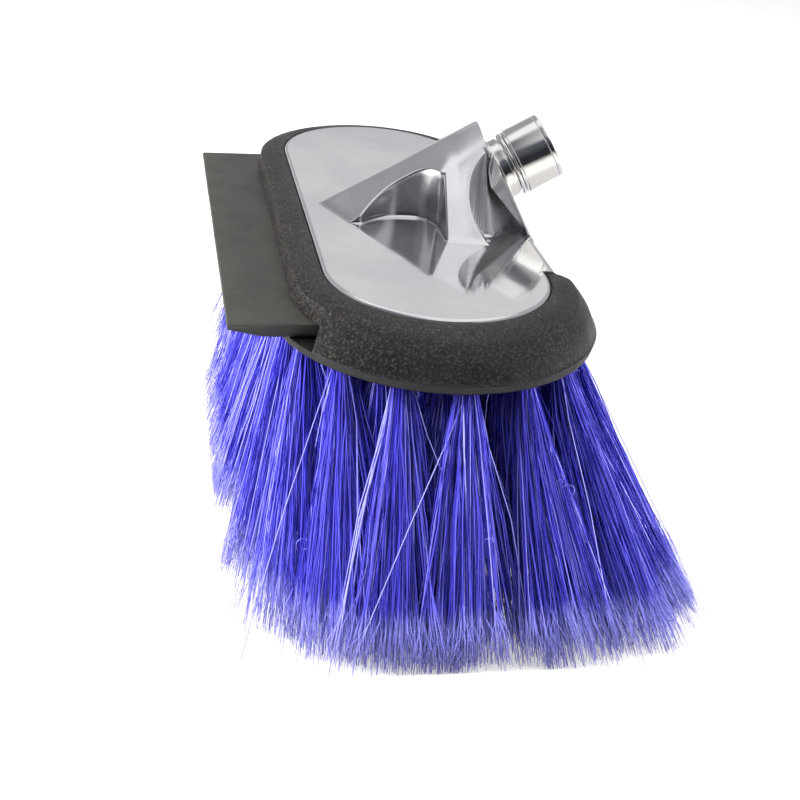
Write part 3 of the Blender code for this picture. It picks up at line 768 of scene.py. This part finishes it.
def make_face():
    """Lower face of the brush block, which the tufts stand in."""
    profile = [(-38, -face_bottom_drop), (face_overhang, -face_bottom_drop)]
    profile += [(face_overhang, -face_top_drop), (-38, -face_top_drop)]
    mesh = grid_mesh(stadium_points(np.array(profile, float)), wrap_columns=True, caps=True)
    add_piece("brush_face", mesh, "head", "black_plastic", black_plastic())


def tuft_roots():
    """Root x and y, flare x and y, share of the offset, strands and root radius of tufts.

    Tufts stand evenly along nested outlines. A tip lies further out than its root by
    the flare, which grows with the share to the power 1.5 and leans towards the inlet.
    """
    found = []
    for number, (share, pitch, strands, size) in enumerate(tuft_rows):
        radius = root_half_width * share
        run = 2 * spine_half
        arc = math.pi * radius
        count = round(2 * (run + arc) / pitch)
        place = (np.arange(count) + (0.5 if number % 2 else 0.0)) / count + near_tuft_place
        travel = place % 1 * 2 * (run + arc)
        half = np.where(travel >= run + arc, -1.0, 1.0)
        travel = travel % (run + arc)
        straight = travel < run
        turn = np.maximum(travel - run, 0) / radius
        side = np.where(straight, half, half * np.cos(turn))
        along = np.where(straight, half * (2 * travel / run - 1), half)
        end = np.where(straight, 0, half * np.sin(turn))
        root_y = along * spine_half + end * radius
        flare_y = along * np.abs(along) * (tip_straight_half - spine_half)
        left = look_up(tip_reach_left, root_y + flare_y)
        reach = np.where(side > 0, tip_reach_right, left)
        flare_x = side * (reach - root_half_width) * share**1.5
        flare_y = (flare_y + end * (tip_end_reach - root_half_width)) * share**1.5
        rest = [np.full(count, value) for value in (share, strands, size)]
        found.append(np.column_stack([side * radius, root_y, flare_x, flare_y] + rest))
    return np.concatenate(found)


def strand_mesh(paths, radii, along, tone):
    """Three-sided strands along paths of shape (strand, point, 3), closed at both ends.

    radii gives each point's radius, and along and tone are stored on the points for the
    colour: the share of the way to the tip, and the strand's own shade.
    """
    count, points = paths.shape[:2]
    angle = (np.arange(3) / 3 + tone[:, None]) * math.tau
    ring = np.stack([np.cos(angle), np.sin(angle), np.zeros((count, 3))], -1)
    vertices = paths[:, :, None, :] + radii[..., None, None] * ring[:, None]
    index = np.arange(count * points * 3).reshape(count, points, 3)
    step = np.roll(index, -1, axis=2)
    quads = np.stack([index[:, :-1], step[:, :-1], step[:, 1:], index[:, 1:]], -1).reshape(-1, 4)
    ends = np.concatenate([index[:, 0, ::-1], index[:, -1]])
    mesh = bpy.data.meshes.new("strands")
    mesh.from_pydata(to_world(vertices.reshape(-1, 3)), [], quads.tolist() + ends.tolist())
    for name, values in (("along", along[..., None]), ("tone", tone[:, None, None])):
        layer = mesh.attributes.new(name, "FLOAT", "POINT")
        layer.data.foreach_set("value", (values + np.zeros((count, points, 3))).astype(np.float32).ravel())
    mesh.shade_smooth()
    return mesh


def vary(chance):
    """A factor from 0.75 to 1.25 for a chance from 0 to 1."""
    return 0.75 + 0.5 * chance


def inside_head(points):
    """Points kept within the reach of the trimmed bristles."""
    points[..., :2] = np.clip(points[..., :2], tip_limit_low, tip_limit_high)
    return points


def make_bristles():
    """Five pieces of flagged bristles, one for each slice of the block's face.

    A strand runs from its place in the tuft to a tip that lies out by the tuft's flare,
    by its own place times the fan, and by chance. It bows, and its end is split.
    """
    draw = np.random.default_rng(11)
    tufts = tuft_roots()
    wanted = tufts[:, 5].astype(int) // 1
    owner = np.repeat(np.arange(len(tufts)), wanted)
    count = len(owner)
    tuft = tufts[owner]

    def dice():
        return draw.random(count)

    def stray(size):
        return draw.normal(0, 1, (count, 2)) * size

    spread = np.sqrt(dice())
    around = dice() * math.tau
    local = np.stack([np.cos(around), np.sin(around)], -1) * spread[:, None]
    root = tuft[:, :2] + local * tuft[:, 6:7]
    clump = draw.normal(0, 1, (len(tufts), 4, 2)) * clump_lean
    quarter = (around / math.tau * 4).astype(int) % 4
    drift = local * tuft_fan + clump[owner, quarter] + stray(tip_scatter)
    astray = dice() < astray_share
    drift += astray[:, None] * stray(np.array(astray_reach))
    outward = tuft[:, 2:4] / (np.linalg.norm(tuft[:, 2:4], axis=1, keepdims=True) + tiny)
    beyond = np.maximum((drift * outward).sum(axis=1, keepdims=True), 0)
    drift -= outward * beyond * tuft_hold
    tip = inside_head(tuft[:, :2] + tuft[:, 2:4] + drift * mix(0.5, 1, tuft[:, 4:5]))
    ragged = draw.random((len(tufts), 12)) * ragged_depth
    sector = (around / math.tau * 12).astype(int) % 12
    trim = dice() ** 3 * trim_depth + ragged[owner, sector] * (dice() < 0.6)
    tone = np.where(astray, astray_tone, dice() * most_tone)

    t = np.array([0, 0.2, 0.5, 0.8, 1.0])
    at = t[:, None]
    bow = stray(bow_scatter) + local * bow_outwards
    wander = stray(wander_size)
    out = root[:, None] + (tip - root)[:, None] * at**flare_power
    out += bow[:, None] * (at * (1 - at) * 2) + wander[:, None] * np.sin(math.tau * wander_turns * at)
    z = mix(root_sink - face_bottom_drop, (tip_clear - rim_height + trim)[:, None], t)
    paths = inside_head(np.concatenate([out, z[..., None]], -1))
    radii = strand_radius * vary(dice())[:, None] * (1 - 0.4 * ease((t - 0.7) / 0.3))
    slice_of = np.searchsorted(slice_bounds, tuft[:, 1])

    flag = flagged_length / (rim_height - face_bottom_drop) * (0.7 + 0.5 * draw.random(len(tufts)))[owner]
    split_at = 1 - flag * vary(dice())
    start = mix(paths[:, -2], paths[:, -1], ((split_at - t[-2]) / (1 - t[-2]))[:, None])
    fork_paths = []
    for _ in range(forks):
        splay, short = stray(fork_splay), dice() ** 2 * fork_shortest
        target = np.column_stack([inside_head(paths[:, -1, :2] + splay), paths[:, -1, 2] + short])
        middle = mix(start, target, 0.5)
        middle[:, :2] += stray(fork_crook)
        fork_paths.append(inside_head(np.stack([start, middle, target], 1)))
    fork_paths = np.concatenate(fork_paths)
    fork_along = np.tile(np.stack([split_at, (split_at + 1) / 2, np.ones(count)], -1), (forks, 1))
    fork_tone = np.tile(mix(dice(), tone, 0.7), forks)
    fork_slice = np.tile(slice_of, forks)
    kept = np.tile(tuft[:, 4] > 0.8, forks) | (np.arange(len(fork_slice)) % 2 == 0)
    fork_radii = np.tile(strand_radius * np.array([0.55, 0.5, 0.3]), (len(fork_paths), 1))

    curls, curl_along = stray_curls(draw, tuft, paths)
    curl_slice = np.searchsorted(slice_bounds, curls[:, 0, 1])
    families = [
        (slice_of, paths, radii, np.tile(t, (count, 1)), tone),
        (np.where(kept, fork_slice, -1), fork_paths, fork_radii, fork_along, fork_tone),
        (curl_slice, curls, np.full(curls.shape[:2], curl_radius), curl_along, np.ones(len(curls))),
    ]
    blue = bristle_fibre()
    for number in range(len(slice_bounds) + 1):
        name = "bristle_tufts_%d" % (number + 1)
        work = bmesh.new()
        for where, *parts in families:
            work.from_mesh(strand_mesh(*(part[where == number] for part in parts)))
        joined = bpy.data.meshes.new(name)
        work.to_mesh(joined)
        work.free()
        joined.shade_smooth()
        add_piece(name, joined, "head", "bristle_blue", blue, "bristles_%d" % (number + 1))


def stray_curls(draw, tuft, paths, count=70, points=15):
    """Loose ends that curl on the outer tufts: open helices that grow as they turn.

    Each lies about a place on an outer strand, pushed outwards a little.
    """
    outer = np.flatnonzero(tuft[:, 4] > 0.99)
    chosen = draw.choice(outer, count)
    share = np.where(draw.random(count) < 0.5, draw.random(count) * 0.3, 0.3 + draw.random(count) * 0.6)
    segment = share * (paths.shape[1] - 1)
    first = segment.astype(int)
    centre = mix(paths[chosen, first], paths[chosen, first + 1], (segment - first)[:, None])
    t = np.linspace(0, 1, points)
    turns = (0.4 + 1.1 * draw.random(count))[:, None] * math.tau
    phase = (draw.random(count) * math.tau)[:, None]
    size = (1.0 + 3.0 * draw.random(count))[:, None] * (0.5 + 0.8 * t)
    heading = np.arctan2(centre[:, 1], centre[:, 0])[:, None]
    sideways = np.cos(phase + turns * t) * size
    outwards = 1.2 + 0.8 * np.sin(phase * 2 + 4 * t)
    x = centre[:, :1] + np.cos(heading) * outwards - np.sin(heading) * sideways
    y = centre[:, 1:2] + np.sin(heading) * outwards + np.cos(heading) * sideways
    z = centre[:, 2:] + np.sin(phase + turns * t) * size
    z = np.clip(z, 0.5 - rim_height, -face_bottom_drop - 0.5)
    return inside_head(np.stack([x, y, z], -1)), np.tile(share[:, None], points)


def linear(code):
    """An sRGB hex colour as linear RGBA."""
    values = [int(code[i:i + 2], 16) / 255 for i in (1, 3, 5)]
    return tuple(v / 12.92 if v <= 0.04045 else ((v + 0.055) / 1.055) ** 2.4 for v in values) + (1.0,)


def feed(node, *values, **named):
    """Give a node's inputs numbers, hex colours or links from other nodes' outputs.

    Values go to the inputs in use, in turn. A name is a label, with _ for a space.
    """
    sockets = [socket for socket in node.inputs if socket.enabled]
    labels = {socket.name.replace(" ", "_"): socket for socket in sockets}
    for socket, value in [*zip(sockets, values), *((labels[key], named[key]) for key in named)]:
        if isinstance(value, bpy.types.NodeSocket):
            node.id_data.links.new(value, socket)
        else:
            socket.default_value = linear(value) if isinstance(value, str) else value


def add_node(tree, kind, *values, out=None, **named):
    """A new node's first output in use, or the one with the label out.

    Names that start with a capital are inputs, and the others are the node's settings.
    """
    node = tree.nodes.new("ShaderNode" + kind)
    inputs = {key: value for key, value in named.items() if key[0].isupper()}
    for key in named.keys() - inputs.keys():
        setattr(node, key, named[key])
    feed(node, *values, **inputs)
    return next((end for end in node.outputs if end.enabled and out in (None, end.name)), None)


def new_material(name, color, metallic, roughness):
    """A material with a Principled shader, its tree and the shader."""
    material = bpy.data.materials.new(name)
    material.use_nodes = True
    shader = material.node_tree.nodes["Principled BSDF"]
    feed(shader, Base_Color=color, Metallic=metallic, Roughness=roughness)
    return material, material.node_tree, shader


def object_space(tree, scale=(1, 1, 1), rotation=(0, 0, 0)):
    """Object coordinates, turned and scaled."""
    space = add_node(tree, "TexCoord", out="Object")
    return add_node(tree, "Mapping", Vector=space, Scale=scale, Rotation=rotation)


def per_mm(size):
    """Texture scale whose features are about the given number of millimetres."""
    return 1 / (size * mm)


def patchy(space, size, low, high, to_low=0.0, to_high=1.0, detail=3.0, rough=0.5):
    """Noise with features of size millimetres, carried from low and high to a range."""
    look = dict(Scale=per_mm(size), Detail=detail, Roughness=rough)
    value = add_node(space.id_data, "TexNoise", space, **look)
    return add_node(space.id_data, "MapRange", value, low, high, to_low, to_high)


def graded(value, low, high, first, second, most=1.0):
    """First colour where a value is low, and most of the second where it is high."""
    share = add_node(value.id_data, "MapRange", value, low, high, 0.0, most)
    return add_node(value.id_data, "Mix", share, first, second, data_type="RGBA")


def relief(shader, space, size, depth, strength=1.0, detail=3.0, rough=0.5, **below):
    """Bumps of size millimetres from noise, whose full range is depth millimetres."""
    look = dict(Scale=per_mm(size), Detail=detail, Roughness=rough)
    height = add_node(space.id_data, "TexNoise", space, **look)
    normal = add_node(space.id_data, "Bump", strength, depth * mm, Height=height, **below)
    feed(shader, Normal=normal)
    return normal


def dusted(space, color, spacing, size, strength, patches, tint):
    """A colour with specks of dust, which lie in patches.

    Specks lie about spacing millimetres apart, and size gives where a speck's rim
    starts and ends as shares of that. patches is the patches' size and lower bound.
    """
    tree = space.id_data
    away = add_node(tree, "TexVoronoi", space, Scale=per_mm(spacing), out="Distance")
    dust = add_node(tree, "MapRange", away, *size, strength, 0.0)
    rare = patchy(space, *patches, 0.62, 0.0, 0.8, 2.0)
    return graded(add_node(tree, "Math", dust, rare, operation="MULTIPLY"), 0, 1, color, tint)


def cast_aluminium():
    """Cast aluminium: the plate buffed to a mirror, the boss ground and only brightened.

    Grinding leaves long shallow waves and hair-fine scratches, drawn coarser than real.
    A thin haze on the plate scatters a little of the light.
    """
    material, tree, shader = new_material("buffed_cast_aluminium", "#ededf0", 1.0, 0.07)
    space = object_space(tree)
    raised = add_node(tree, "SeparateXYZ", space, out="Z")
    across = add_node(tree, "SeparateXYZ", space, out="X")
    plate = (rim_height + plate_rise) * mm
    on_boss = add_node(tree, "MapRange", raised, plate + 0.3 * mm, plate + 2.5 * mm)
    tint = patchy(space, 26, 0.35, 0.7, detail=2.0)
    bright = graded(tint, 0, 1, "#efeff1", "#e2e3e8")
    dull = graded(tint, 0, 1, "#e0e0e2", "#d4d5d9")
    buffed = patchy(space, 9, 0.3, 0.75, 0.045, 0.10, 4.0, 0.6)
    inward = add_node(tree, "MapRange", across, 17 * mm, 24 * mm, 0.0, 0.12)
    ground = add_node(tree, "Math", patchy(space, 9, 0.3, 0.75, 0.18, 0.27, 4.0, 0.6), inward)
    rough = add_node(tree, "Mix", on_boss, buffed, ground)
    metallic = add_node(tree, "MapRange", raised, plate + 0.2 * mm, plate + 0.6 * mm, 0.94, 1.0)
    feed(shader, Base_Color=graded(on_boss, 0, 1, dull, bright), Roughness=rough, Metallic=metallic)
    first = relief(shader, space, 18, 0.02, 0.35, 1.0)
    strokes = object_space(tree, (0.12, 1.0, 1.0), (0, 0, 0.35))
    scratch = add_node(tree, "TexNoise", strokes, Scale=per_mm(0.7), Detail=4.0, Roughness=0.7)
    scratch = add_node(tree, "Math", scratch, on_boss, operation="MULTIPLY")
    feed(shader, Normal=add_node(tree, "Bump", 0.6, 0.006 * mm, Height=scratch, Normal=first))
    return material


def turned_metal():
    """Plated brass turned on a lathe: nearly a mirror, with rings square to the axis."""
    material, tree, shader = new_material("plated_turned_brass", "#f2f1ef", 1.0, 0.09)
    turned = object_space(tree, rotation=(0, inlet_lean - math.pi / 2, 0))
    along = add_node(tree, "SeparateXYZ", turned, out="Z")
    rings = add_node(tree, "TexNoise", along, per_mm(0.35), 3.0, noise_dimensions="1D")
    feed(shader, Normal=add_node(tree, "Bump", 0.4, 0.003 * mm, Height=rings))
    feed(shader, Roughness=patchy(object_space(tree), 3, 0.3, 0.7, 0.06, 0.15))
    return material


def moulded_rubber():
    """Black rubber from a mould: matt charcoal with a fine grain, smudges and dust.

    Under the flash line the colour turns darker, set by height alone.
    """
    material, tree, shader = new_material("moulded_black_rubber", "#1e1d1c", 0.0, 0.62)
    space = object_space(tree)
    smudge = patchy(space, 16, 0.42, 0.72, detail=4.0, rough=0.6)
    color = graded(smudge, 0, 1, "#0d0c0c", "#161413")
    color = graded(patchy(space, 2.6, 0.4, 0.75, rough=0.6), 0, 1, color, "#23201f", 0.5)
    color = graded(patchy(space, 0.9, 0.5, 0.75, detail=2.0, rough=0.7), 0, 1, color, "#44413e", 0.7)
    # Colour darker below the flash line, by height; the dust still lies over it
    seam = (rim_height - seam_drop) * mm
    raised = add_node(tree, "SeparateXYZ", space, out="Z")
    color = graded(raised, seam - 1.2 * mm, seam - 0.2 * mm, "#0b0b0c", color)
    color = dusted(space, color, 3.4, (0.03, 0.075), 1.0, (7, 0.55), "#b8b4ae")
    feed(shader, Base_Color=color, Roughness=add_node(tree, "MapRange", smudge, 0.0, 1.0, 0.42, 0.62))
    first = relief(shader, space, 5.0, 0.12, 0.5)
    relief(shader, space, 0.45, 0.05, 0.6, 2.0, 0.6, Normal=first)
    return material


def blade_rubber():
    """Extruded blade rubber: grey-green, dull, with darker patches and dust."""
    material, tree, shader = new_material("grey_blade_rubber", "#3f3f3c", 0.0, 0.58)
    space = object_space(tree)
    patch = patchy(space, 13, 0.4, 0.7, detail=4.0, rough=0.6)
    color = graded(patch, 0, 1, "#353532", "#2d2d2a")
    feed(shader, Base_Color=dusted(space, color, 4.2, (0.02, 0.06), 0.8, (9, 0.56), "#c8c6c0"))
    relief(shader, space, 0.5, 0.03, 0.6, 2.0)
    return material


def soft_seal():
    """Nitrile rubber: black with a satin skin."""
    material, tree, shader = new_material("nitrile_rubber", "#1c1c1b", 0.0, 0.5)
    relief(shader, object_space(tree), 0.4, 0.02, 0.5, 2.0)
    return material


def black_plastic():
    """Moulded polypropylene: black, with a low sheen and faint flow marks."""
    material, tree, shader = new_material("black_polypropylene", "#151515", 0.0, 0.42)
    space = object_space(tree)
    feed(shader, Roughness=patchy(space, 8, 0.3, 0.7, 0.36, 0.52))
    relief(shader, space, 0.6, 0.02, 0.5, 2.0)
    return material


def zinc_steel():
    """Zinc-plated screw steel: dull silver with a grey bloom."""
    material, tree, shader = new_material("zinc_plated_steel", "#b4b3ac", 1.0, 0.35)
    bloom = patchy(object_space(tree), 2, 0.3, 0.7)
    feed(shader, Base_Color=graded(bloom, 0, 1, "#bcbab2", "#8f8e88"))
    return material


def bristle_fibre():
    """Drawn polyester fibre, dyed blue and flagged: glossy shafts with pale frayed tips."""
    material, tree, shader = new_material("blue_polyester_fibre", "#5c57e0", 0.0, 0.34)
    feed(shader, Sheen_Weight=0.25, Sheen_Roughness=0.4, Sheen_Tint="#c3c2ff")
    along = add_node(tree, "Attribute", out="Fac", attribute_name="along")
    tone = add_node(tree, "Attribute", out="Fac", attribute_name="tone")
    shaft = graded(tone, 0, 1, "#1e189a", "#6865e8")
    shaft = graded(tone, 0.74, 0.95, shaft, "#acabf8", 0.8)
    feed(shader, Base_Color=graded(along, 0.8, 0.87, shaft, "#9f9eea", 0.62))
    return material


def dress_cad_nodes():
    """Materials for the CAD nodes that stay."""
    black, seal, zinc = black_plastic(), soft_seal(), zinc_steel()
    looks = {"brush_block": black, "block_gasket": seal, "neck_seal": seal, "swivel_seal": seal}
    for name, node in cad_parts.items():
        look = zinc if name.startswith("block_screw") else looks.get(name)
        if look:
            node.data.materials.clear()
            node.data.materials.append(look)


def make_camera():
    """Camera solved from the plate, the bumper's seam and the boss in the photograph."""
    yaw, pitch, roll = 0.2344, -0.4921, 0.1156
    data = bpy.data.cameras.new("photo_camera")
    data.lens = 57.23
    stand = Matrix.Translation((-0.10727, -0.48224, 0.28102))
    for angle, axis in ((-yaw, "Z"), (math.pi / 2 + pitch, "X"), (roll, "Z")):
        stand = stand @ Matrix.Rotation(angle, 4, axis)
    camera = put("photo_camera", data)
    camera.matrix_world = stand
    bpy.context.scene.camera = camera


def add_softbox(name, place, width, height, power):
    """A rectangular white lamp that faces the head."""
    data = bpy.data.lights.new(name, "AREA")
    data.shape = "RECTANGLE"
    data.size, data.size_y, data.energy = width, height, power
    lamp = put(name, data)
    lamp.location = place
    lamp.rotation_euler = (Vector(lamp_target) - Vector(place)).to_track_quat("-Z", "Y").to_euler()
    lamp.visible_glossy = False


def make_stage():
    """Pale floor in a studio with a white ceiling and backdrop, dark behind the camera."""
    edge = np.array([-floor_reach, floor_reach])
    mesh = grid_mesh(np.stack(np.broadcast_arrays(edge, edge[:, None], -rim_height), -1))
    floor = put("floor", mesh)
    material, tree, shader = new_material("white_paper_sweep", "#bdbbb7", 0.0, 0.9)
    seen = add_node(tree, "LightPath", out="Is Camera Ray")
    glow = add_node(tree, "Math", seen, floor_glow, operation="MULTIPLY")
    feed(shader, Emission_Color="#ffffff", Emission_Strength=glow)
    mesh.materials.append(material)

    world = bpy.data.worlds.new("studio")
    bpy.context.scene.world = world
    world.use_nodes = True
    tree = world.node_tree
    tree.nodes.clear()
    direction = add_node(tree, "TexCoord", out="Generated")
    across, back, up = (add_node(tree, "SeparateXYZ", direction, out=axis) for axis in "XYZ")
    backdrop = graded(up, 0.27, 0.31, "#bdbec3", "#dadada")
    behind = graded(across, -0.05, 0.08, "#a0a0a3", backdrop)
    behind = graded(up, 0.04, 0.13, "#f6f6f6", behind)
    front = graded(up, 0.3, 0.6, "#2c2d32", "#565a62")
    front = graded(across, -0.35, -0.7, front, "#56585d")
    room = graded(back, -0.2, 0.1, front, behind)
    room = graded(across, 0.38, 0.55, room, "#aaaaae")
    leftward = add_node(tree, "MapRange", across, -0.06, -0.5)
    forward = add_node(tree, "MapRange", back, -0.05, 0.2, 1.0, 0.0)
    corner = add_node(tree, "Math", leftward, forward, operation="MULTIPLY")
    overhead = graded(corner, 0, 1, "#ffffff", "#66686e")
    room = graded(up, 0.67, 0.8, room, overhead)
    seen = add_node(tree, "LightPath", out="Is Camera Ray")
    light = add_node(tree, "Background", graded(seen, 0, 1, room, "#ffffff"), 1.0)
    add_node(tree, "OutputWorld", light)

    add_softbox("left", (-1.0, 0.05, 0.4), 0.8, 0.6, 54)
    add_softbox("right", (1.0, -0.25, 0.4), 0.6, 0.5, 26)
    bpy.context.scene.view_settings.view_transform = "Standard"


make_casting()
make_bumper()
make_blade()
make_inlet()
make_face()
make_bristles()
dress_cad_nodes()
make_camera()
make_stage()
